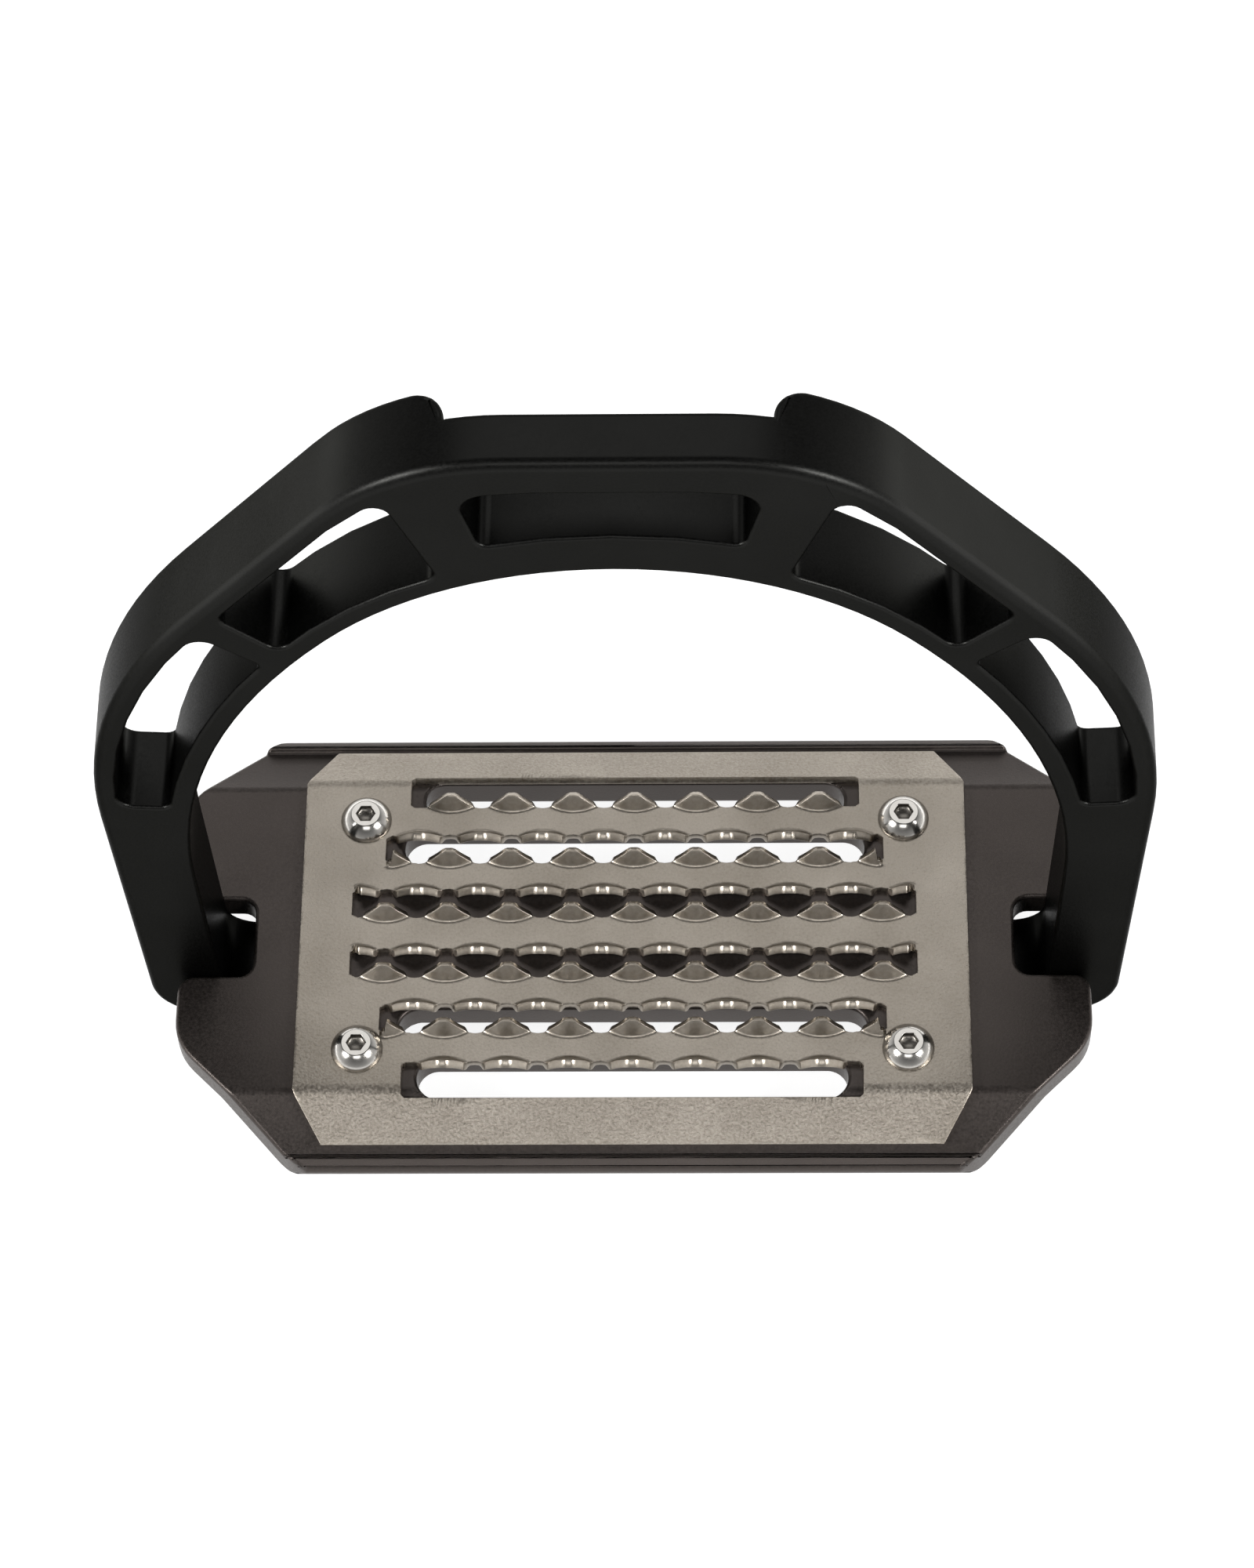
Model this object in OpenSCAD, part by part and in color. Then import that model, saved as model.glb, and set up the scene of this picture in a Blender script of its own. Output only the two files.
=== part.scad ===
// Riding stirrup: an aluminium bow around a footbed with a toothed steel tread.
// The rider faces +Y, X runs across the foot, Z is up. The stirrup stands on
// the cross bar under the footbed, and the origin is the middle of that face.

/* [Bow] */
// Widest gap between the arms, for the boot
inside_w = 125; // [105:1:155]
// Inset of each arm where it meets the footbed, from the widest gap
ankle_in = 1.5; // [0:0.1:6]
// Clear height from the footbed to the top of the arch
inside_h = 110.5; // [90:0.5:140]
// Depth of the bow from front to rear
bow_d = 12.6; // [10:0.1:16]
// Width of each arm at its widest, across the whole band
side_t = 11.8; // [9:0.1:15]
// Height of the band above the arch
crown_t = 24; // [20:0.5:30]
// Inward lean of the arms over their height
arm_lean = 2.6; // [0:0.1:5]
// Half length of the flat crown, up to the start of the shoulders
crown_half = 28.1; // [24:0.1:34]
// Slope of the outer shoulders
shoulder_a = 52.3; // [46:0.1:58]
// Slope of the arch where its two curves meet
arch_a = 48; // [42:0.5:54]
// Radius of the top of the arch
arch_r = 51; // [40:1:60]
// Radius of the sides of the arch
flank_r = 92; // [70:1:110]
// Outer radius of the shoulders
shoulder_r = 30.5; // [20:0.5:40]
// Outer radius of the hips
hip_r = 80; // [50:1:90]
// Inner radius at the foot of each arm
ankle_r = 5; // [2:0.5:8]
// Outer radius at the foot of each arm
heel_r = 9; // [6:0.5:12]

/* [Bow windows] */
// Depth below the arch of the point that the ends of the windows aim at
window_drop = 65.5; // [55:0.5:75]
// Wall between the outer edge and the windows
rail_out = 3; // [2:0.1:4.5]
// Wall between the arch and the windows
rail_in = 3.2; // [2:0.1:4.5]
// Height of the bar that the stirrup leather hangs on
leather_bar_t = 6.4; // [5:0.1:8]
// Band between the leather eye and the arch
eye_floor_t = 7.8; // [5:0.1:10]
// Half width of the leather eye, as an angle about the window centre
eye_a = 13.3; // [11:0.1:15]
// Upper window: lower end and upper end
upper_window = [46, 70.5]; // [40:0.5:75]
// Lower window: lower end and upper end
lower_window = [4.2, 42]; // [2:0.5:45]
// Corner radii of the leather eye: outer pair and inner pair
eye_r = [3.5, 1.5]; // [1:0.1:4]
// Corner radii of the upper windows: outer pair and inner pair
upper_r = [2, 2]; // [1:0.1:2.5]
// Corner radii of the lower windows: outer pair and inner pair
lower_r = [2.5, 1.5]; // [1:0.1:2.5]
// Distance between the two ears behind the leather
ear_gap = 41; // [34:0.5:46]
// Depth of the recess between the ears
ear_d = 4.5; // [2:0.1:6]

/* [Cross bar] */
// Thickness of the bar under the footbed
bar_t = 7; // [5:0.1:10]
// Height of the raised seat that the footbed rests on
seat_rise = 1.5; // [0.5:0.1:3]
// Gap between the end of the seat and the footbed's notch
seat_gap = 4.4; // [1:0.1:20]

/* [Footbed] */
// Reach of the footbed's side tabs out past the inner faces of the arms
tab_reach = 6.4; // [3:0.1:9]
// Overall depth of the footbed from front to rear
deck_d = 73.6; // [66:0.2:84]
// Thickness of the footbed
deck_t = 5; // [4:0.1:7]
// Half depth of the flat middle, up to the bends
flat_half = 25.4; // [22:0.1:28]
// Downward slope of the front and rear wings
wing_a = 26; // [15:1:32]
// Bend radius of the wings, on top of the footbed
bend_r = 3; // [1.5:0.5:5]
// Height of the lip along the front and rear edges
lip_h = 1.2; // [0.5:0.1:2]
// Width of the lip
lip_w = 2.7; // [1.5:0.1:4]
// Distance that the front corners are cut back
front_cut = 19.5; // [10:0.5:24]
// Distance that the rear corners are cut back
rear_cut = 13.5; // [8:0.5:20]
// Reach of each arm notch in from the arm's inner face
notch_reach = 4.6; // [2:0.1:6]
// Play between the notch and the arm, on each side
notch_fit = 0.15; // [0.05:0.05:0.5]
// Corner radius at the front of the side tabs
front_r = 9; // [2:0.5:12]
// Corner radius at the rear of the side tabs
rear_r = 6.5; // [2:0.5:9]
// Corner radius where a side tab meets its notch
tab_r = 2.5; // [0.5:0.1:4]
// Corner radius at the bottom of each notch
notch_r = 2.3; // [0.5:0.1:4]
// Radius of the outer edges of the lip
lip_r = 1.8; // [0.5:0.1:2]

/* [Footbed drain slots] */
// Width of each drain slot
drain_w = 6.3; // [4:0.1:7]
// Web between the two slots of a pair
drain_web = 1.8; // [1.2:0.1:3]
// Distance from the middle of the footbed to the inner slots
drain_y = 12; // [9:0.1:14]
// Distance from the ends of the inner and the outer slots to the ends of the tread
drain_end = [15.1, 18]; // [12:0.1:28]

/* [Tread] */
// Margin of the footbed between the tread and the arm notches
tread_gap = 6.9; // [3:0.1:12]
// Thickness of the tread sheet
tread_t = 1.2; // [0.8:0.1:2]
// Length of the strips that are bent down over the wings
strip_l = 7.9; // [5:0.1:8.5]
// Distance that the tread's corners are cut back along the width
tread_cut = 4.2; // [1:0.1:8]
// Rows of slots on one half of the tread: distance from the middle
row_y = [5, 14.2, 23.9]; // [3:0.1:26]
// Slot widths of these rows
row_w = [4.6, 4.6, 5]; // [3:0.1:6]
// Distance from the ends of these slots to the ends of the tread
row_end = [7.6, 12.3, 15.8]; // [5:0.1:28]

/* [Teeth] */
// Distance from tooth to tooth
tooth_pitch = 9.22; // [7:0.01:12]
// Width of a tooth at its foot
tooth_w = 6.7; // [4:0.1:8]
// Length of a tooth along its slope
tooth_l = 2.4; // [1:0.1:3]
// Width of the blunt peak of a tooth
peak_w = 1.5; // [0.5:0.1:3]
// Radius of the shoulders of the peak
peak_r = 0.6; // [0.2:0.1:1]
// Angle that the teeth are bent up to
tooth_a = 60; // [40:1:80]
// Set-back of the bend line from the edge of the slot
crease = 0.5; // [0.3:0.1:1]
// Width of the scallops between the teeth
scallop_w = 4.1; // [2.5:0.1:4.5]
// Depth of the scallops between the teeth
scallop_d = 0.45; // [0.1:0.05:0.8]

/* [Fasteners] */
// Thread diameter of all the screws
thread_d = 4; // [3:0.5:5]
// Clearance hole over the thread diameter
hole_play = 0.5; // [0.2:0.1:1]
// Head diameter of the tread screws
button_d = 7.6; // [6:0.1:9]
// Head height of the tread screws
button_h = 2.2; // [1.6:0.1:3]
// Diameter of the flat on top of a button head
button_flat = 4.3; // [3.6:0.1:5]
// Hexagon socket size, across its flats
hex_s = 2.5; // [2:0.1:3]
// Depth of the hexagon sockets
hex_h = 1.4; // [1:0.1:1.6]
// Length of the tread screws under the head
button_l = 6; // [5:0.5:7]
// Distance from the tread screws to the ends of the tread
screw_end = 9.2; // [5:0.1:12]
// Distance from the tread screws to the middle of the tread, along Y
screw_y = 19.2; // [18.5:0.1:19.5]
// Outer diameter of the threaded inserts
insert_d = 6; // [5:0.1:7]
// Flange diameter of the threaded inserts
flange_d = 7.8; // [6.5:0.1:9]
// Flange thickness of the threaded inserts
flange_t = 0.8; // [0.5:0.1:1.2]
// Head diameter of the countersunk footbed screws
sunk_d = 8; // [6:0.1:9]
// Metal of the footbed that is left over the ends of the footbed screws
sunk_cover = 1.5; // [0.8:0.1:2]
// Distance from the inner footbed screws to the middle
sunk_in = 16; // [10:1:24]
// Distance from the outer footbed screws to the ends of the seat
sunk_end = 8; // [6:0.5:16]

/* [Hidden] */
$fn = 48;
eps = 0.01;
// straight rim of the screw heads
rim = 0.3;
// small radius of cut and folded sheet edges
edge_r = 0.5;
// room under the ends of the footbed screws
drill_room = 0.5;
ankle_w = inside_w - 2 * ankle_in;
deck_z = bar_t + seat_rise + deck_t;
arch_z = deck_z + inside_h;
top_z = arch_z + crown_t;
outside_w = inside_w + 2 * side_t;
window_z = arch_z - window_drop;
tread_z = deck_z + tread_t;
notch_x = ankle_w / 2 - notch_reach;
seat_w = 2 * (notch_x - seat_gap);
deck_w = ankle_w + 2 * tab_reach;
tread_w = 2 * (notch_x - tread_gap);
screw_x = tread_w / 2 - screw_end;
sunk_x = [sunk_in, seat_w / 2 - sunk_end];
sunk_l = deck_z - sunk_cover;

// ---- outlines -------------------------------------------------------------
// An outline is a list of [x, y, r]: a corner and the radius that rounds it.

function unit(v) = v / norm(v);
function corner(o, i) = let(n = len(o), p = o[(i + n) % n]) [p[0], p[1]];
function turn(o, i) =
    let(a = unit(corner(o, i) - corner(o, i - 1)), b = unit(corner(o, i + 1) - corner(o, i)))
    atan2(a[0] * b[1] - a[1] * b[0], a * b);
// length that a corner's arc takes from each edge that meets there
function take(o, i) = o[(i + len(o)) % len(o)][2] * tan(abs(turn(o, i)) / 2);
// share of that length which still fits on the edge from corner i to i + 1
function room(o, i) =
    let(need = take(o, i) + take(o, i + 1))
    need > 0 ? min(1, norm(corner(o, i + 1) - corner(o, i)) / need) : 1;
// steps of an arc of radius r that turns by a
function arc_steps(r, a) = max(2, ceil(abs(a) * sqrt(r) / 25));
function round_corner(o, i) =
    let(a = turn(o, i), t = take(o, i) * min(room(o, i - 1), room(o, i)), p = corner(o, i))
    t < eps ? [p] : let(
        back = unit(corner(o, i - 1) - p),
        r = t / tan(abs(a) / 2),
        side = [-back[1], back[0]] * (a > 0 ? 1 : -1),
        c = p + back * t - side * r,
        n = arc_steps(r, a)
    ) [for (k = [0 : n]) let(q = a * k / n)
        c + r * [side[0] * cos(q) - side[1] * sin(q), side[0] * sin(q) + side[1] * cos(q)]];
function rounded(o) = [for (i = [0 : len(o) - 1]) each round_corner(o, i)];
function mirrored(o) = concat(o, [for (i = [len(o) - 1 : -1 : 0]) [-o[i][0], o[i][1], o[i][2]]]);

// the same outline, moved by d to its right hand side
function shifted(o, d) = [for (i = [0 : len(o) - 1])
    let(
        a = unit(corner(o, i) - corner(o, i - 1)),
        b = unit(corner(o, i + 1) - corner(o, i)),
        na = [a[1], -a[0]],
        nb = [b[1], -b[0]],
        p = corner(o, i) + d * (na + nb) / (1 + na * nb)
    ) [p[0], p[1], max(0, o[i][2] + d * (turn(o, i) > 0 ? 1 : -1))]];

// the point where a closed list of points is met at angle a about the window centre
function met(pts, a) = [for (i = [0 : len(pts) - 1])
    let(
        p = pts[i] - [0, window_z],
        q = pts[(i + 1) % len(pts)] - [0, window_z],
        n = [-sin(a), cos(a)],
        dp = p * n,
        dq = q * n,
        m = p + (q - p) * dp / (dp - dq)
    ) if (dp * dq <= 0 && dp != dq && m * [cos(a), sin(a)] > 0) m + [0, window_z]][0];

// ---- bow ------------------------------------------------------------------

// outer edge of the bow, half of it, counter-clockwise from the cross bar
outer_half = [
    [outside_w / 2 - arm_lean, 0, heel_r],
    [outside_w / 2, top_z - (outside_w / 2 - crown_half) * tan(shoulder_a), hip_r],
    [crown_half, top_z, shoulder_r]
];
// inner edge of the bow, half of it
inner_half = [
    [ankle_w / 2, bar_t, ankle_r],
    [inside_w / 2, arch_z - (inside_w / 2 - arch_r * tan(arch_a / 2)) * tan(arch_a), flank_r],
    [arch_r * tan(arch_a / 2), arch_z, arch_r]
];

// one opening in the band, between two angles and inside the given walls
module window(from, to, wall_out, wall_in, r) {
    outside = rounded(shifted(mirrored(outer_half), -wall_out));
    inside = rounded(shifted(mirrored(inner_half), wall_in));
    steps = max(2, floor((to - from) / 6));
    angles = [for (k = [0 : steps]) from + (to - from) * k / steps];
    along_out = [for (k = [0 : steps]) let(p = met(outside, angles[k]))
        [p[0], p[1], k == 0 || k == steps ? r[0] : 0]];
    along_in = [for (k = [steps : -1 : 0]) let(p = met(inside, angles[k]))
        [p[0], p[1], k == 0 || k == steps ? r[1] : 0]];
    polygon(rounded(concat(along_out, along_in)));
}

module bow_outline() {
    difference() {
        polygon(rounded(mirrored(outer_half)));
        polygon(rounded(mirrored(inner_half)));
        window(90 - eye_a, 90 + eye_a, leather_bar_t, eye_floor_t, eye_r);
        for (side = [0, 1]) mirror([side, 0]) {
            window(upper_window[0], upper_window[1], rail_out, rail_in, upper_r);
            window(lower_window[0], lower_window[1], rail_out, rail_in, lower_r);
        }
    }
    // the raised seat of the footbed, in the middle of the cross bar
    translate([-seat_w / 2, bar_t - eps]) square([seat_w, seat_rise + eps]);
}

// the recess behind the leather, with the rounded inner ends of the two ears
module ear_recess() {
    low = arch_z + eye_floor_t;
    half = ear_gap / 2;
    translate([0, 0, low]) linear_extrude(crown_t)
        difference() {
            translate([-half - ear_d, bow_d / 2 - ear_d]) square([ear_gap + 2 * ear_d, ear_d + 1]);
            for (side = [-1, 1]) translate([side * (half + ear_d), bow_d / 2 - ear_d]) circle(ear_d);
            for (side = [-1, 1]) translate([side * (half + ear_d + 1) - 1, bow_d / 2]) square([2, 2]);
        }
}

module bow() {
    color("#262626")
        difference() {
            rotate([90, 0, 0]) translate([0, 0, -bow_d / 2]) linear_extrude(bow_d) bow_outline();
            ear_recess();
            for (x = sunk_x, side = [-1, 1]) translate([side * x, 0, 0]) {
                translate([0, 0, -1]) cylinder(h = bar_t + seat_rise + 2, d = thread_d + hole_play);
                countersink();
            }
        }
}

// ---- footbed --------------------------------------------------------------

// top line of the footbed's cross section, half of it: the flat, the bend and the wing
function down_wing(l, h) = [flat_half + l * cos(wing_a) + h * sin(wing_a), h * cos(wing_a) - l * sin(wing_a)];
// the place on a bend where a surface at height h turns
function bend_at(h) = flat_half + h * tan(wing_a / 2);
// length of the wing from the bend to the outer face of the lip
wing_l = (deck_d / 2 - flat_half - lip_h * sin(wing_a)) / cos(wing_a);

module deck_section() {
    lip_in = down_wing(wing_l - lip_w, 0);
    lip_in_top = down_wing(wing_l - lip_w, lip_h);
    lip_out_top = down_wing(wing_l, lip_h);
    lip_out_low = down_wing(wing_l, -deck_t);
    half = [
        [bend_at(-deck_t), -deck_t, max(0, bend_r - deck_t)],
        [lip_out_low[0], lip_out_low[1], lip_r],
        [lip_out_top[0], lip_out_top[1], lip_r],
        [lip_in_top[0], lip_in_top[1], edge_r],
        [lip_in[0], lip_in[1], 0],
        [flat_half, 0, bend_r]
    ];
    polygon(rounded(mirrored(half)));
}

module deck_plan() {
    w = deck_w / 2;
    d = deck_d / 2;
    notch_y = bow_d / 2 + notch_fit;
    half = [
        [w - front_cut, -d, front_r],
        [w, -d + front_cut, front_r],
        [w, -notch_y, tab_r],
        [notch_x, -notch_y, notch_r],
        [notch_x, notch_y, notch_r],
        [w, notch_y, tab_r],
        [w, d - rear_cut, rear_r],
        [w - rear_cut, d, rear_r]
    ];
    polygon(rounded(mirrored(half)));
}

// one drain slot, which ends at the given distance from the ends of the tread
module drain(y, end) {
    x = tread_w / 2 - end - drain_w / 2;
    translate([-x, y - drain_w / 2]) square([2 * x, drain_w]);
    for (side = [-1, 1]) translate([side * x, y]) circle(d = drain_w);
}

module at_tread_screws() {
    for (x = [-1, 1], y = [-1, 1]) translate([x * screw_x, y * screw_y, 0]) children();
}

module footbed() {
    color("#433f3c")
        difference() {
            translate([0, 0, deck_z]) intersection() {
                rotate([90, 0, 90]) translate([0, 0, -deck_w]) linear_extrude(2 * deck_w) deck_section();
                translate([0, 0, -deck_d]) linear_extrude(2 * deck_d) deck_plan();
            }
            translate([0, 0, deck_z - deck_d]) linear_extrude(2 * deck_d)
                for (side = [-1, 1]) {
                    drain(side * (drain_y + drain_w / 2), drain_end[0]);
                    drain(side * (drain_y + 1.5 * drain_w + drain_web), drain_end[1]);
                }
            at_tread_screws() translate([0, 0, deck_z - deck_t]) {
                translate([0, 0, -1]) cylinder(h = deck_t + 2, d = insert_d);
                translate([0, 0, -1]) cylinder(h = flange_t + 1, d = flange_d);
            }
            for (x = sunk_x, side = [-1, 1]) translate([side * x, 0, 0])
                cylinder(h = sunk_l + drill_room, d = thread_d);
        }
}

// ---- tread ----------------------------------------------------------------

// the row's front and rear edges: 0 has teeth on the pattern, 0.5 half a pitch off, -1 none
function phase(row, front) = abs(row) == 3 ? ((row < 0) == front ? -1 : 0) : (front ? 0 : 0.5);
function places(half, ph) = let(n = ceil(half / tooth_pitch))
    [for (k = [-n : n]) if (abs((k + ph) * tooth_pitch) < half + tooth_w / 4) (k + ph) * tooth_pitch];

module tread_section() {
    low = down_wing(strip_l, 0);
    high = down_wing(strip_l, tread_t);
    polygon(rounded(mirrored([
        [flat_half, 0, bend_r],
        [low[0], low[1], 0],
        [high[0], high[1], edge_r],
        [bend_at(tread_t), tread_t, bend_r + tread_t]
    ])));
}

module tread_plan() {
    w = tread_w / 2;
    end = deck_d / 2;
    strip_end = down_wing(strip_l, tread_t)[0];
    polygon(rounded(mirrored([
        [w - tread_cut, -end, 0],
        [w - tread_cut, -strip_end, 0],
        [w, -bend_at(tread_t), 0],
        [w, bend_at(tread_t), 0],
        [w - tread_cut, strip_end, 0],
        [w - tread_cut, end, 0]
    ])));
}

// a shallow bay in the slot's edge, between two teeth
module bay() {
    half = scallop_w / 2;
    r = (half * half + scallop_d * scallop_d) / (2 * scallop_d);
    a = asin(half / r);
    polygon(concat([[half, -edge_r], [-half, -edge_r]],
        [for (k = [-2 : 2]) [r * sin(a * k / 2), scallop_d - r + r * cos(a * k / 2)]]));
}

module slot_plan(row) {
    i = abs(row) - 1;
    y = sign(row) * row_y[i];
    w = row_w[i] / 2;
    half = tread_w / 2 - row_end[i];
    translate([0, y]) {
        polygon(rounded([[half, w, edge_r], [-half, w, edge_r], [-half, -w, edge_r], [half, -w, edge_r]]));
        for (edge = [-1, 1]) {
            ph = phase(row, edge < 0);
            if (ph >= 0) for (x = places(half, ph + 0.5 - (ph > 0 ? 1 : 0)))
                if (abs(x) < half - tooth_w / 2)
                    translate([x, edge * w]) mirror([0, edge < 0 ? 1 : 0]) bay();
        }
    }
}

// one tooth on the bend line, which is the X axis, leaning towards +Y
module tooth() {
    rotate([tooth_a, 0, 0]) translate([0, 0, -tread_t]) linear_extrude(tread_t)
        polygon(rounded([
            [-tooth_w / 2, 0, 0],
            [tooth_w / 2, 0, 0],
            [peak_w / 2, tooth_l, peak_r],
            [-peak_w / 2, tooth_l, peak_r]
        ]));
}

module row_teeth(row) {
    i = abs(row) - 1;
    y = sign(row) * row_y[i];
    half = tread_w / 2 - row_end[i];
    intersection() {
        for (edge = [-1, 1]) {
            ph = phase(row, edge < 0);
            if (ph >= 0) for (x = places(half, ph))
                translate([x, y + edge * (row_w[i] / 2 + crease), tread_z])
                    mirror([0, edge > 0 ? 1 : 0]) tooth();
        }
        translate([-half, -deck_d, deck_z]) cube([2 * half, 2 * deck_d, 10]);
    }
}

module tread() {
    color("#989188") {
        difference() {
            translate([0, 0, deck_z]) intersection() {
                rotate([90, 0, 90]) translate([0, 0, -tread_w / 2]) linear_extrude(tread_w) tread_section();
                translate([0, 0, -deck_d]) linear_extrude(2 * deck_d) tread_plan();
            }
            translate([0, 0, deck_z - 5]) linear_extrude(10)
                for (row = [-3 : 3]) if (row != 0) slot_plan(row);
            at_tread_screws() translate([0, 0, deck_z - 1])
                cylinder(h = tread_t + 2, d = thread_d + hole_play);
        }
        for (row = [-3 : 3]) if (row != 0) row_teeth(row);
    }
}

// ---- fasteners ------------------------------------------------------------

// a hexagon socket that is open at its top, cut down from the origin
module hex_socket() {
    translate([0, 0, -hex_h]) cylinder(h = hex_h + 1, d = hex_s / cos(30), $fn = 6);
}

// a button head screw with its seat at the origin
module button_screw() {
    r = button_d / 2;
    flat = button_flat / 2;
    drop = (r * r + rim * rim - flat * flat - button_h * button_h) / (2 * (button_h - rim));
    difference() {
        union() {
            intersection() {
                translate([0, 0, -drop]) sphere(sqrt(r * r + pow(rim + drop, 2)));
                cylinder(h = button_h, d = button_d);
            }
            translate([0, 0, -button_l]) cylinder(h = button_l + eps, d = thread_d);
        }
        translate([0, 0, button_h]) hex_socket();
    }
}

module tread_screws() {
    color("#c9c9c6") at_tread_screws() translate([0, 0, tread_z]) button_screw();
}

module tread_inserts() {
    color("#b0aca4") at_tread_screws() translate([0, 0, deck_z - deck_t])
        difference() {
            union() {
                cylinder(h = deck_t, d = insert_d);
                cylinder(h = flange_t, d = flange_d);
            }
            translate([0, 0, -1]) cylinder(h = deck_t + 2, d = thread_d);
        }
}

// the cone of a countersunk head, its face at the origin
module countersink() {
    translate([0, 0, rim]) cylinder(h = (sunk_d - thread_d) / 2, d1 = sunk_d, d2 = thread_d);
    translate([0, 0, -eps]) cylinder(h = rim + eps, d = sunk_d);
}

module footbed_screws() {
    color("#8f8f8c") for (x = sunk_x, side = [-1, 1]) translate([side * x, 0, 0])
        difference() {
            union() {
                intersection() {
                    countersink();
                    cylinder(h = sunk_d, d = sunk_d);
                }
                translate([0, 0, rim]) cylinder(h = sunk_l - rim, d = thread_d);
            }
            mirror([0, 0, 1]) hex_socket();
        }
}

bow();
footbed();
tread();
tread_screws();
tread_inserts();
footbed_screws();
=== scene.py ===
"""A riding stirrup: black anodised bow, grey anodised footbed and a toothed stainless tread.

The frame's nodes give every place. Sizes below are in millimetres, and mm() turns them to metres.
"""

import math

import bmesh
import bpy
from mathutils import Matrix, Vector


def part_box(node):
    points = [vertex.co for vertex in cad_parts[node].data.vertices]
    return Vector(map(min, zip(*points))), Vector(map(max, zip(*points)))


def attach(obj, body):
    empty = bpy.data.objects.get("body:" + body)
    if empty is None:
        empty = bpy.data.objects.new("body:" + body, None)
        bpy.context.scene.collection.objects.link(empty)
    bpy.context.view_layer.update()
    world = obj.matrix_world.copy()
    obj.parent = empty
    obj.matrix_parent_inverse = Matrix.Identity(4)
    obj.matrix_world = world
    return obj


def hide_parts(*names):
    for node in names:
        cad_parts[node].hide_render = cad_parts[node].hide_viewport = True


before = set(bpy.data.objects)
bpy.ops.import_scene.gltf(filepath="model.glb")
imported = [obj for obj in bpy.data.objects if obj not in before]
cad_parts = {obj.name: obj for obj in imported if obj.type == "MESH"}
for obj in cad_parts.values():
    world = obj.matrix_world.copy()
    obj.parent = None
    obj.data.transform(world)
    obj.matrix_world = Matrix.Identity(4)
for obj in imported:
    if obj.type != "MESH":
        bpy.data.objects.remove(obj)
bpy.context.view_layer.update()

BODY = "root"


def mm(value):
    """Millimetres to metres, for a number or a point."""
    return value / 1000 if isinstance(value, (int, float)) else Vector(value) / 1000


# ---- sizes -----------------------------------------------------------------

# from the frame: top of the footbed, half length of the tread, half depth of the bow, top of the screws
deck_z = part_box("footbed")[1].z * 1000
tread_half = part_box("tread")[1].x * 1000
bow_half_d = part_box("bow")[1].y * 1000
screw_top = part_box("tread_screws")[1].z * 1000

# the bar that carries the leather: its rear face, and the height at which it begins
BAR_REAR = 1.8
CROWN_Z = 132.5

# the rounding of the bow's edges, and the share of it that the edges behind and inside get
BOW_ROUND = 1.5
REAR_SHARE = 0.55
INNER_SHARE = 0.35

# the rounding of the edges of the footbed and of the screws
DECK_ROUND = 0.6
SCREW_ROUND = 0.08

# edges that turn by more than this are rounded, and a point this near to a plane counts as on it
SHARP_A = math.radians(32)
NEAR = 0.05

# points of a CAD node this close are one, and faces that turn by less than this are one
WELD = 0.002
FLAT_A = math.radians(0.4)

# a face that points down by more than this is on the underside
DOWNWARD = -0.3

# a point stands proud of a face from this height on
PROUD = 0.03

# the sheet of the tread: its thickness, and half the width that lies flat
SHEET = 1.2
FLAT_HALF = 25.4

# its front and rear strips: their slope, the radius of the bend and the length down the slope
WING_A = math.radians(26)
BEND_R = 3.0
STRIP_L = 7.9
CORNER_CUT = 4.2

# the slots of the tread, one half: distance from the middle, width, margin to the tread's end
ROWS = {1: (5.0, 4.6, 7.6), 2: (14.2, 4.6, 12.3), 3: (23.9, 5.0, 15.8)}
ROW_NUMBERS = (-3, -2, -1, 1, 2, 3)
SLOT_R = 0.5

# the teeth along the slots' edges: their pitch, and the steps that their outline is drawn in
PITCH = 9.22
STEP = PITCH / 20

# half the width of a tooth at its peak and at its foot, its length from the crease line, and how
# hollow its flanks are: 1 is straight
PEAK_HALF = 0.7
FOOT_HALF = 3.8
TOOTH_L = 2.35
FLANK = 1.3

# the crease line lies this far back from the slot's edge
CREASE = 0.5

# the bay between two teeth cuts this deep into the slot's edge, and no tooth is this near to its end
SCALLOP = 0.12
END_GAP = 0.9

# a tooth is bent up by this angle over this arc, from a crease that bows away from the slot
TOOTH_A = math.radians(55)
BEND_ARC = 0.7
FOOT_MIDDLE = -0.75
FOOT_RISE = 1.2

# beside the foot the bend dies out over this length
FADE = 0.3

# so that it bends smoothly, the sheet is cut at these distances from each crease line, and into this
# many steps across the bend of each strip. A vertex this near to a cut is used by it
FOOT_CUTS = (-0.75, -0.6, -0.45, -0.3, -0.15, 0.0, 0.15, 0.3, 0.45, 0.6, 0.8, 1.1, 1.6)
FOLDS = 4
CUT_SNAP = 0.004

# the broken edge of the sheet, the angle from which an edge is on its rim, and the angle up to which
# its faces are shaded as one
EDGE_R = 0.12
RIM_A = math.radians(80)
SMOOTH_A = math.radians(38)

# the tread's screws: distance from the tread's end, distance from the middle, width of their holes,
# and the sides that the holes are drawn with
SCREW_END = 9.2
SCREW_Y = 19.2
SCREW_HOLE = 4.5
HOLE_SIDES = 24

# the sockets of the tread screws: their radius, and the heights they lie between
SOCKET_R = 1.5
SOCKET_LOW = deck_z + SHEET
SOCKET_HIGH = screw_top - 0.1

# the tone of a metal drifts over this length
DRIFT_MM = 14

# the floor lies this far below the stirrup's feet
FLOOR_DROP = 0.3


# ---- materials ---------------------------------------------------------------

def srgb(code):
    """A hex colour such as #a1b2c3 as linear RGBA."""
    parts = [int(code[i:i + 2], 16) / 255 for i in (1, 3, 5)]
    return [c / 12.92 if c <= 0.04045 else ((c + 0.055) / 1.055) ** 2.4 for c in parts] + [1]


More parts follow.
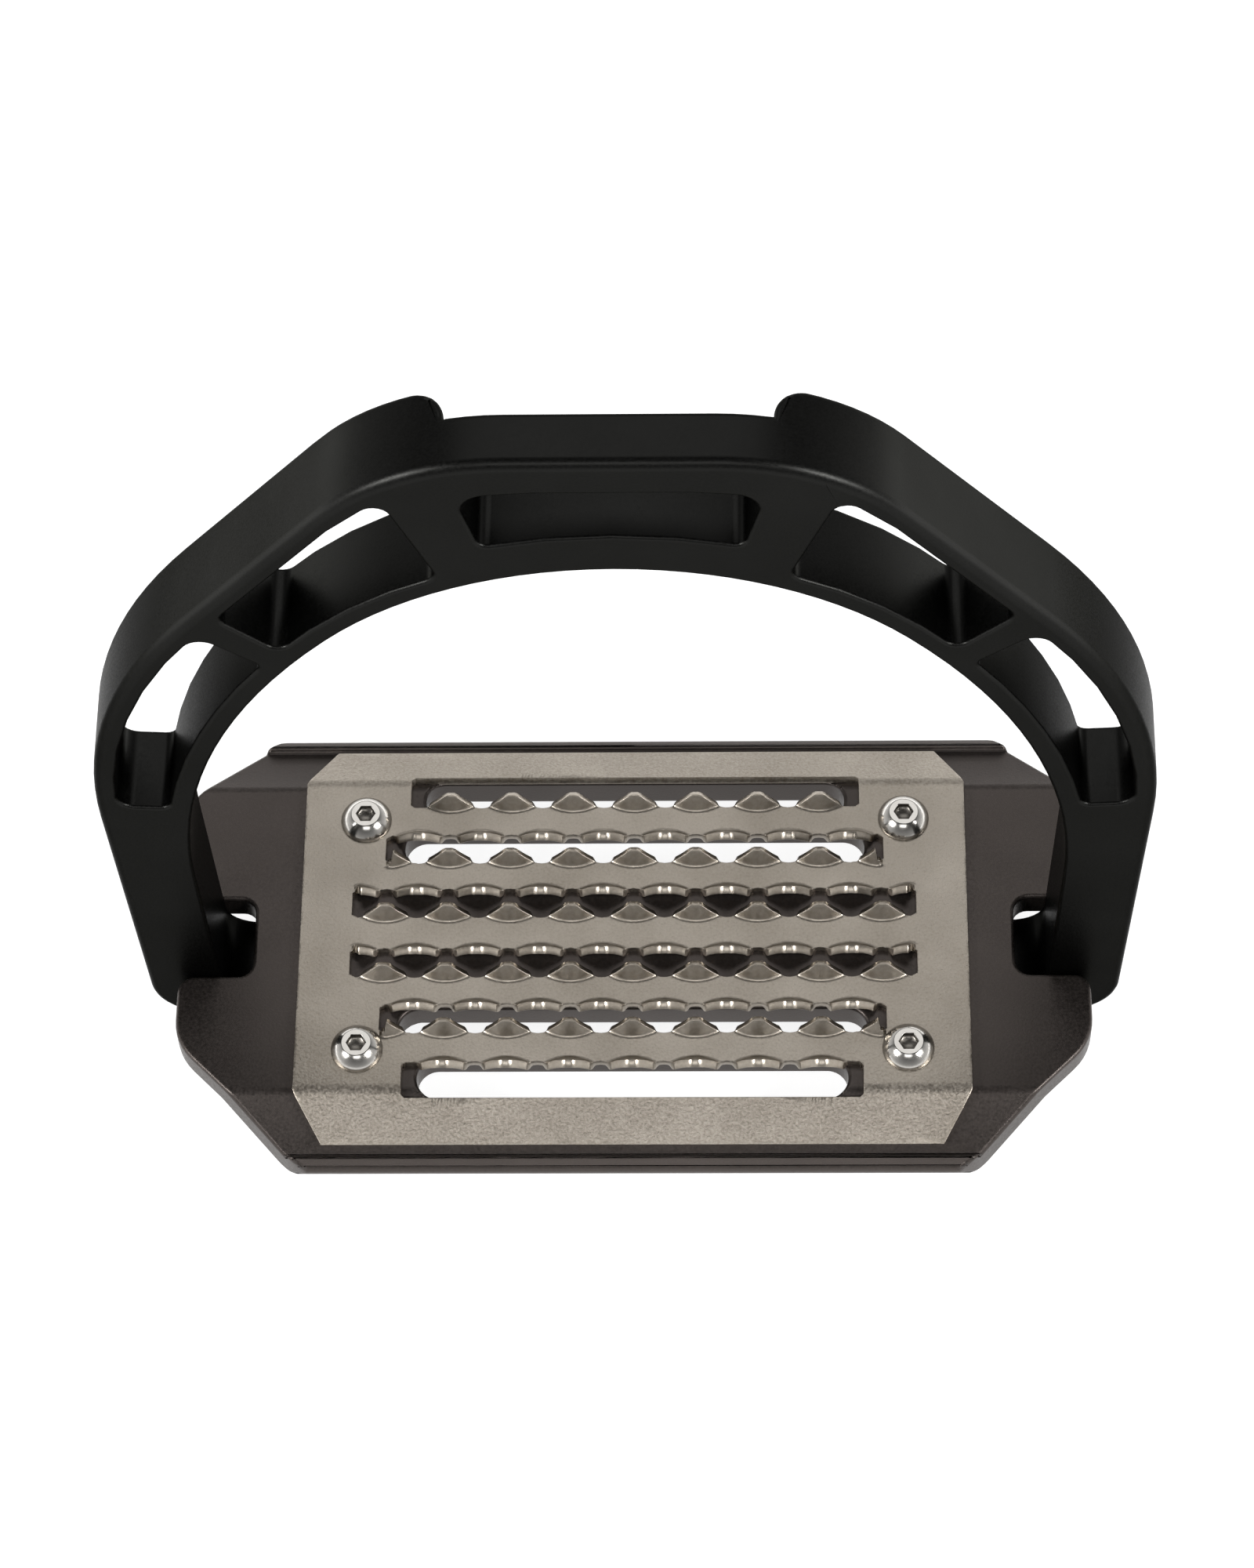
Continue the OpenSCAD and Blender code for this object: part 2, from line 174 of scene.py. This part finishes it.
def add(tree, kind, settings=None, **inputs):
    """Adds one node, with its settings and its inputs, each a value, or a socket to link.

    An input is given by its name, or by an underscore and its number.
    """
    made = tree.nodes.new("ShaderNode" + kind)
    for name, value in (settings or {}).items():
        setattr(made, name, value)
    for name, value in inputs.items():
        socket = made.inputs[int(name[1:]) if name[0] == "_" else name.replace("_", " ")]
        if isinstance(value, bpy.types.NodeSocket):
            tree.links.new(value, socket)
        else:
            socket.default_value = value
    return made


def new_material(name):
    """An empty material with its shader, and the place of a point on the piece."""
    material = bpy.data.materials.new(name)
    material.use_nodes = True
    tree = material.node_tree
    tree.nodes.clear()
    shader = add(tree, "BsdfPrincipled")
    add(tree, "OutputMaterial", Surface=shader.outputs["BSDF"])
    place = add(tree, "TexCoord").outputs["Object"]
    return material, tree, shader, place


def blasted_metal(name, dark, light, rough, grain_mm, depth_mm, metallic=1.0, spark=0.07):
    """Metal that was bead blasted: a fine even pebble grain, and a slow drift of tone over the piece."""
    material, tree, shader, place = new_material(name)
    drift = add(tree, "TexNoise", Vector=place, Scale=1000 / DRIFT_MM, Detail=2.0)
    pebble = add(tree, "TexNoise", Vector=place, Scale=1000 / grain_mm, Detail=2.0, Roughness=0.6)
    blend = add(tree, "Math", {"operation": "MULTIPLY_ADD"}, _0=pebble.outputs["Fac"], _1=1.6, _2=-0.8)
    mixed = add(tree, "Math", {"operation": "ADD", "use_clamp": True},
                _0=blend.outputs["Value"], _1=drift.outputs["Fac"])
    tone = add(tree, "MixRGB", Fac=mixed.outputs["Value"], Color1=srgb(dark), Color2=srgb(light))
    shine = add(tree, "MapRange", Value=pebble.outputs["Fac"], From_Min=0.3, From_Max=0.7,
                To_Min=rough - spark, To_Max=rough + spark)
    bump = add(tree, "Bump", Height=pebble.outputs["Fac"], Distance=depth_mm / 1000, Strength=1.0)
    tree.links.new(tone.outputs["Color"], shader.inputs["Base Color"])
    tree.links.new(shine.outputs["Result"], shader.inputs["Roughness"])
    tree.links.new(bump.outputs["Normal"], shader.inputs["Normal"])
    shader.inputs["Metallic"].default_value = metallic
    return material


def polished_steel():
    """Polished stainless: a bright mirror, softened by faint wiping marks about a millimetre apart."""
    material, tree, shader, place = new_material("polished_stainless")
    shader.inputs["Base Color"].default_value = srgb("#b8b5b0")
    shader.inputs["Metallic"].default_value = 1.0
    smear = add(tree, "TexNoise", Vector=place, Scale=900.0, Detail=3.0)
    gloss = add(tree, "MapRange", Value=smear.outputs["Fac"], To_Min=0.14, To_Max=0.24)
    tree.links.new(gloss.outputs["Result"], shader.inputs["Roughness"])
    bump = add(tree, "Bump", Height=smear.outputs["Fac"], Distance=mm(0.01), Strength=0.6)
    tree.links.new(bump.outputs["Normal"], shader.inputs["Normal"])
    return material


# the grain is drawn at 0.3 to 0.6 mm, coarser than the blast leaves it, so that it shows

# black dye over a fine blast: satin, nearly no colour of its own
black_anodised = blasted_metal("black_anodised_aluminium", "#20201f", "#262625", 0.36, 0.3, 0.006)
# the dye takes the glare away where the light only grazes the metal
black_anodised.node_tree.nodes["Principled BSDF"].inputs["Specular Tint"].default_value = srgb("#b0b0b0")
# a thinner grey dye over a coarser blast: the grain of the metal shows through
grey_anodised = blasted_metal("grey_anodised_aluminium", "#413c39", "#4e4845", 0.4, 0.4, 0.016, 0.9)
# stainless sheet, bead blasted: warm grey with a pebble grain that glitters where it faces the light
blasted_stainless = blasted_metal("blasted_stainless_steel", "#8b8378", "#b7afa4", 0.4, 0.4, 0.04)
# the teeth: the same sheet, where the punch that raised them has burnished the blasted grain
burnished_stainless = blasted_metal("burnished_stainless_steel", "#948c81", "#aaa297", 0.33, 0.6, 0.001,
                                    spark=0.015)
# the screws' heads: polished stainless, a mirror that the wiping marks soften
stainless = polished_steel()
# the sockets of the screws: the same steel, dull as the forging punch left it, and darker in colour as
# painted shade inside the hex recess
socket_steel_painted_shade = blasted_metal("socket_stainless_painted_shade", "#6d6963", "#85817b", 0.34, 0.3, 0.004)
# the inserts: plain turned steel, an even satin grey
turned_steel = blasted_metal("turned_steel", "#8b8883", "#9a9791", 0.3, 0.6, 0.004)


# ---- mesh work ----------------------------------------------------------------

def finish_piece(name, bm, material, slot, *nodes):
    """Turns a bmesh into a piece that rides on the stirrup and stands for the given nodes."""
    mesh = bpy.data.meshes.new(name)
    bm.to_mesh(mesh)
    bm.free()
    piece = bpy.data.objects.new(name, mesh)
    bpy.context.scene.collection.objects.link(piece)
    mesh.materials.append(material)
    mesh.shade_smooth()
    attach(piece, BODY)
    if nodes:
        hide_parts(*nodes)
    return piece


def merged_copy(node):
    """A bmesh copy of a CAD node with its doubles merged and its flat faces joined."""
    bm = bmesh.new()
    bm.from_mesh(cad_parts[node].data)
    bmesh.ops.remove_doubles(bm, verts=bm.verts, dist=mm(WELD))
    bmesh.ops.dissolve_limit(bm, angle_limit=FLAT_A, verts=bm.verts, edges=bm.edges)
    return bm


def round_edges(piece, width_mm, segments):
    """Rounds the edges by their weights, and keeps the flat faces flat in the shading."""
    bevel = piece.modifiers.new("rounded", "BEVEL")
    bevel.limit_method = "WEIGHT"
    bevel.width = mm(width_mm)
    bevel.segments = segments
    bevel.use_clamp_overlap = False
    bevel.miter_outer = "MITER_SHARP"
    flat = piece.modifiers.new("flat_faces", "WEIGHTED_NORMAL")
    flat.keep_sharp = True
    return piece


def weigh_edges(bm, weight_of):
    """Gives each sharp outer edge a bevel weight: weight_of takes the edge and its middle in mm."""
    layer = bm.edges.layers.float.new("bevel_weight_edge")
    for edge in bm.edges:
        if len(edge.link_faces) == 2 and edge.is_convex and edge.calc_face_angle() > SHARP_A:
            # half the sum of the ends, times 1000
            middle = (edge.verts[0].co + edge.verts[1].co) * 500
            edge[layer] = weight_of(edge, middle)


def on_outline(bm, edge):
    """True if the edge lies on the convex outline: nothing reaches further out than its side face."""
    side = next((f for f in edge.link_faces if abs(f.normal.y) < 0.5), None)
    if side is None:
        return False
    reach = side.normal.dot(edge.verts[0].co)
    return all(side.normal.dot(v.co) < reach + mm(PROUD) for v in bm.verts)


def bow():
    """The bow, softly rounded along its front outline, and less behind and inside."""
    bm = merged_copy("bow")

    def weight(edge, middle):
        in_front = middle.y < NEAR - bow_half_d
        behind = middle.y > bow_half_d - NEAR
        on_bar = middle.y > BAR_REAR - NEAR and middle.z > CROWN_Z
        if in_front and on_outline(bm, edge):
            return 1.0
        return REAR_SHARE if (on_bar or behind) and on_outline(bm, edge) else INNER_SHARE
    weigh_edges(bm, weight)
    return round_edges(finish_piece("bow_rounded", bm, black_anodised, "bow_anodised", "bow"), BOW_ROUND, 4)


def footbed():
    """The footbed. Its lower faces are deeply notched by the drain slots, so they are cut into triangles."""
    bm = merged_copy("footbed")
    weigh_edges(bm, lambda edge, middle: 1.0)
    below = [f for f in bm.faces if len(f.verts) > 4 and f.normal.z < DOWNWARD]
    bmesh.ops.triangulate(bm, faces=below)
    piece = finish_piece("footbed_rounded", bm, grey_anodised, "footbed_anodised", "footbed")
    return round_edges(piece, DECK_ROUND, 3)


# ---- tread ----------------------------------------------------------------------

def tooth_centres(row, edge):
    """Middles of the teeth along one edge of a row, in pitches, or none. edge is -1 in front, 1 behind."""
    if abs(row) == 3:
        return None if row * edge > 0 else 0.0
    return 0.0 if edge < 0 else 0.5


def tooth_rise(x, shift, half):
    """How far the flat sheet reaches past the crease line at x, where there is a tooth or a shallow bay."""
    if shift is None:
        return CREASE
    away = abs((x / PITCH - shift + 0.5) % 1 - 0.5) * PITCH
    if half - abs(x) < END_GAP:
        return CREASE
    if away <= PEAK_HALF:
        return TOOTH_L
    if away < FOOT_HALF:
        fall = (away - PEAK_HALF) / (FOOT_HALF - PEAK_HALF)
        return CREASE + (TOOTH_L - CREASE) * (1 - fall) ** FLANK
    valley = (away - FOOT_HALF) / (PITCH / 2 - FOOT_HALF)
    whole = half - abs(x) > PITCH / 2
    return CREASE - SCALLOP * math.sin(math.pi / 2 * valley) * whole


def crease_line(row, edge):
    """Place along Y of the line that the teeth on one edge of a row are bent along."""
    place, width, _ = ROWS[abs(row)]
    return math.copysign(place, row) + edge * (width / 2 + CREASE)


def ring(bm, points):
    """A closed ring of edges through the points, in millimetres."""
    verts = [bm.verts.new(mm((x, y, 0))) for x, y in points]
    return [bm.edges.new((verts[i - 1], verts[i])) for i in range(len(verts))]


def slot_ring(bm, row):
    """The outline of one slot of the flat sheet, with its teeth and bays, and small corner cuts."""
    place, width, margin = ROWS[abs(row)]
    y = math.copysign(place, row)
    half = tread_half - margin
    count = int((half - SLOT_R) / STEP)
    xs = [i * STEP for i in range(-count, count + 1)]
    points = []
    for edge in (-1, 1):
        shift = tooth_centres(row, edge)
        base = crease_line(row, edge)
        line = [(x, base - edge * tooth_rise(x, shift, half)) for x in xs]
        ends = y + edge * (width / 2 - SLOT_R)
        line = [(-half, ends)] + line + [(half, ends)]
        points += line if edge < 0 else line[::-1]
    return ring(bm, points)


def flat_sheet():
    """The tread before it is bent: one flat face with its slots, teeth and screw holes."""
    bm = bmesh.new()
    end = flat_length()
    cut = tread_half - CORNER_CUT
    edges = ring(bm, [(cut, -end), (tread_half, -FLAT_HALF), (tread_half, FLAT_HALF), (cut, end),
                      (-cut, end), (-tread_half, FLAT_HALF), (-tread_half, -FLAT_HALF), (-cut, -end)])
    for row in ROW_NUMBERS:
        edges += slot_ring(bm, row)
    for x in (-1, 1):
        for y in (-1, 1):
            turn = [math.tau * i / HOLE_SIDES for i in range(HOLE_SIDES)]
            edges += ring(bm, [(x * (tread_half - SCREW_END) + SCREW_HOLE / 2 * math.cos(a),
                                y * SCREW_Y + SCREW_HOLE / 2 * math.sin(a)) for a in turn])
    bmesh.ops.triangle_fill(bm, use_beauty=True, edges=edges)
    return bm


def cut_along(bm, axis, places):
    """Cuts the sheet along lines across the given axis, so that it can bend there."""
    for place in places:
        point = [0, 0, 0]
        point[axis] = mm(place)
        normal = [0, 0, 0]
        normal[axis] = 1
        everything = bm.verts[:] + bm.edges[:] + bm.faces[:]
        bmesh.ops.bisect_plane(bm, geom=everything, dist=mm(CUT_SNAP), plane_co=point, plane_no=normal)


def bend_start():
    """Distance from the middle at which the wings of the sheet begin to bend."""
    return FLAT_HALF - BEND_R * math.tan(WING_A / 2)


def flat_length():
    """Half length of the flat sheet along Y, measured on its lower face."""
    return bend_start() + BEND_R * WING_A + STRIP_L - BEND_R * math.tan(WING_A / 2)


def bent(start, angle, arc, along, height):
    """A point of a strip that bends by an angle over an arc: where it lies along and above the start."""
    if along <= start:
        return along, height
    turned = angle * min(1, (along - start) / arc)
    radius = arc / angle
    over = max(0, along - start - arc)
    return (start + (radius - height) * math.sin(turned) + over * math.cos(turned),
            radius - (radius - height) * math.cos(turned) + over * math.sin(turned))


def raise_teeth(bm):
    """Bends each tooth up at its foot, and leaves the sheet between the teeth flat."""
    for row in ROW_NUMBERS:
        half = tread_half - ROWS[abs(row)][2]
        for edge in (-1, 1):
            shift = tooth_centres(row, edge)
            if shift is None:
                continue
            base = crease_line(row, edge)
            for vert in bm.verts:
                x, y, z = vert.co * 1000
                along = -edge * (y - base)
                away = abs((x / PITCH - shift + 0.5) % 1 - 0.5) * PITCH
                if abs(x) > half - FADE or away > FOOT_HALF + FADE:
                    continue
                foot = FOOT_MIDDLE + FOOT_RISE * min(1, away / FOOT_HALF) ** 2
                share = min(1, (FOOT_HALF + FADE - away) / (2 * FADE))
                angle = TOOTH_A * share * share * (3 - 2 * share)
                if angle > 0.01 and foot < along < tooth_rise(x, shift, half) + EDGE_R:
                    along, rise = bent(foot, angle, BEND_ARC, along, z - SHEET)
                    vert.co = mm((x, base - edge * along, rise + SHEET))


def lower_wings(bm):
    """Bends the front and rear strips down over the footbed's wings."""
    for vert in bm.verts:
        x, y, z = vert.co * 1000
        if abs(y) > bend_start():
            along, drop = bent(bend_start(), WING_A, BEND_R * WING_A, abs(y), -z)
            vert.co = mm((x, math.copysign(along, y), -drop))


def tread():
    """The tread: a punched sheet whose teeth are bent up, and whose front and rear strips are bent down."""
    bm = flat_sheet()
    folds = [s * (bend_start() + BEND_R * WING_A * i / FOLDS)
             for s in (-1, 1) for i in range(FOLDS + 1)]
    feet = []
    for row in ROW_NUMBERS:
        for edge in (-1, 1):
            if tooth_centres(row, edge) is not None:
                feet += [crease_line(row, edge) - edge * cut for cut in FOOT_CUTS]
    bmesh.ops.dissolve_limit(bm, angle_limit=math.radians(0.1), verts=[], edges=bm.edges)
    bmesh.ops.recalc_face_normals(bm, faces=bm.faces)
    made = bmesh.ops.extrude_face_region(bm, geom=bm.faces[:])
    upper = [g for g in made["geom"] if isinstance(g, bmesh.types.BMVert)]
    bmesh.ops.translate(bm, verts=upper, vec=mm((0, 0, SHEET)))
    bmesh.ops.recalc_face_normals(bm, faces=bm.faces)
    rim = [e for e in bm.edges if e.calc_face_angle(0) > RIM_A]
    bmesh.ops.bevel(bm, geom=rim, offset=mm(EDGE_R), offset_type="OFFSET", segments=2, profile=0.5,
                    affect="EDGES", material=-1, clamp_overlap=True)
    cut_along(bm, 1, folds + feet)
    count = int(tread_half / STEP)
    cut_along(bm, 0, [(i + 0.5) * STEP for i in range(-count, count)])
    raise_teeth(bm)
    # the faces that the teeth lift above the sheet get the second finish
    for face in bm.faces:
        face.material_index = int(max(v.co.z for v in face.verts) > mm(SHEET + PROUD))
    lower_wings(bm)
    bmesh.ops.translate(bm, verts=bm.verts, vec=mm((0, 0, deck_z)))
    piece = finish_piece("tread_formed", bm, blasted_stainless, "tread_stainless", "tread")
    piece.data.materials.append(burnished_stainless)
    piece.data.set_sharp_from_angle(angle=SMOOTH_A)
    flat = piece.modifiers.new("flat_faces", "WEIGHTED_NORMAL")
    flat.keep_sharp = True
    return piece


def screws(node, name):
    """The screws of one kind, with their edges broken. The sockets of the tread's are left dull as forged,
    and darker in colour as painted shade in the recess.
    """
    bm = merged_copy(node)
    weigh_edges(bm, lambda edge, middle: 1.0)
    for face in bm.faces:
        x, y, z = face.calc_center_median() * 1000
        off_axis = math.hypot(abs(x) - (tread_half - SCREW_END), abs(y) - SCREW_Y)
        # faces inside the hex socket get the darker steel: painted shade in the recess
        face.material_index = int(off_axis < SOCKET_R and SOCKET_LOW < z < SOCKET_HIGH)
    piece = finish_piece(name, bm, stainless, "screw_stainless", node)
    piece.data.materials.append(socket_steel_painted_shade)
    return round_edges(piece, SCREW_ROUND, 2)


def paint(node, material):
    """Gives a CAD node its finish."""
    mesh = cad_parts[node].data
    mesh.materials.clear()
    mesh.materials.append(material)


bow()
footbed()
tread()
screws("tread_screws", "tread_screws_polished")
screws("footbed_screws", "footbed_screws_polished")
paint("tread_inserts", turned_steel)

# ---- floor, light and camera ---------------------------------------------------

def floor():
    """A pale table that glows, so that it stays pale through the openings, and more behind and beside."""
    bm = bmesh.new()
    just_below = Matrix.Translation(mm((0, 0, -FLOOR_DROP)))
    bmesh.ops.create_grid(bm, x_segments=1, y_segments=1, size=4, matrix=just_below)
    mesh = bpy.data.meshes.new("floor")
    bm.to_mesh(mesh)
    bm.free()
    table = bpy.data.objects.new("floor", mesh)
    bpy.context.scene.collection.objects.link(table)
    material, tree, shader, place = new_material("pale_table")
    shader.inputs["Base Color"].default_value = srgb("#9a9a99")
    shader.inputs["Roughness"].default_value = 0.9
    shader.inputs["Emission Color"].default_value = (1, 1, 1, 1)
    way = add(tree, "SeparateXYZ", Vector=place)
    # the glow rises with a reach in metres: the way back, and 0.8 of the way aside
    aside = add(tree, "Math", {"operation": "ABSOLUTE"}, _0=way.outputs["X"])
    reach = add(tree, "Math", {"operation": "MULTIPLY_ADD"},
                _0=aside.outputs["Value"], _1=0.8, _2=way.outputs["Y"])
    glow = add(tree, "MapRange", Value=reach.outputs["Value"],
               From_Min=0.2, From_Max=0.8, To_Min=0.88, To_Max=5.0)
    tree.links.new(glow.outputs["Result"], shader.inputs["Emission Strength"])
    mesh.materials.append(material)


def softbox(name, place, aim, size, power):
    """An area light at a place, turned to its aim. All in metres and watts."""
    light = bpy.data.lights.new(name, "AREA")
    light.shape = "RECTANGLE"
    light.size, light.size_y = size
    light.energy = power
    lamp = bpy.data.objects.new(name, light)
    lamp.location = place
    lamp.rotation_euler = (Vector(aim) - Vector(place)).to_track_quat("-Z", "Y").to_euler()
    bpy.context.scene.collection.objects.link(lamp)


def surround(low, high, front):
    """The even light of the white studio, by its strength at the horizon and overhead.

    It falls towards the front, where it is the given share of that.
    """
    world = bpy.data.worlds.new("studio")
    world.use_nodes = True
    tree = world.node_tree
    way = add(tree, "SeparateXYZ", Vector=add(tree, "TexCoord").outputs["Generated"])
    level = add(tree, "MapRange", Value=way.outputs["Z"],
                From_Min=0.0, From_Max=0.7, To_Min=low, To_Max=high)
    share = add(tree, "MapRange", Value=way.outputs["Y"],
                From_Min=-0.9, From_Max=0.0, To_Min=front, To_Max=1.0)
    both = add(tree, "Math", {"operation": "MULTIPLY"},
               _0=level.outputs["Result"], _1=share.outputs["Result"])
    tree.links.new(both.outputs["Value"], tree.nodes["Background"].inputs["Strength"])
    tree.nodes["Background"].inputs["Color"].default_value = srgb("#ffffff")
    bpy.context.scene.world = world


def camera():
    """High above the front edge, looking down 60 degrees, through a long lens."""
    data = bpy.data.cameras.new("camera")
    data.sensor_fit = "VERTICAL"
    data.sensor_height = 36
    data.lens = 108.3
    data.clip_start = 0.01
    view = bpy.data.objects.new("camera", data)
    tilt, yaw, roll = math.radians(30), math.radians(3.011), math.radians(-2.837)
    turn = Matrix.Rotation(yaw, 4, "Z") @ Matrix.Rotation(tilt, 4, "X") @ Matrix.Rotation(roll, 4, "Z")
    view.matrix_world = Matrix.Translation(mm((17.485, -329.743, 630.624))) @ turn
    bpy.context.scene.collection.objects.link(view)
    bpy.context.scene.camera = view


floor()
middle = Vector((0, 0, 0.06))
for name, x in (("left_box", -0.8), ("right_box", 0.8)):
    softbox(name, (x, -0.4, 0.7), middle, (0.35, 0.35), power=9)
softbox("front_top", (0, -1.0, 1.2), middle, (0.7, 0.4), power=3.2)
softbox("rear_top", (0, 0.9, 1.6), middle, (1.4, 0.7), power=4.5)
surround(low=1.1, high=0.12, front=0.45)
bpy.context.scene.view_settings.view_transform = "Standard"
camera()
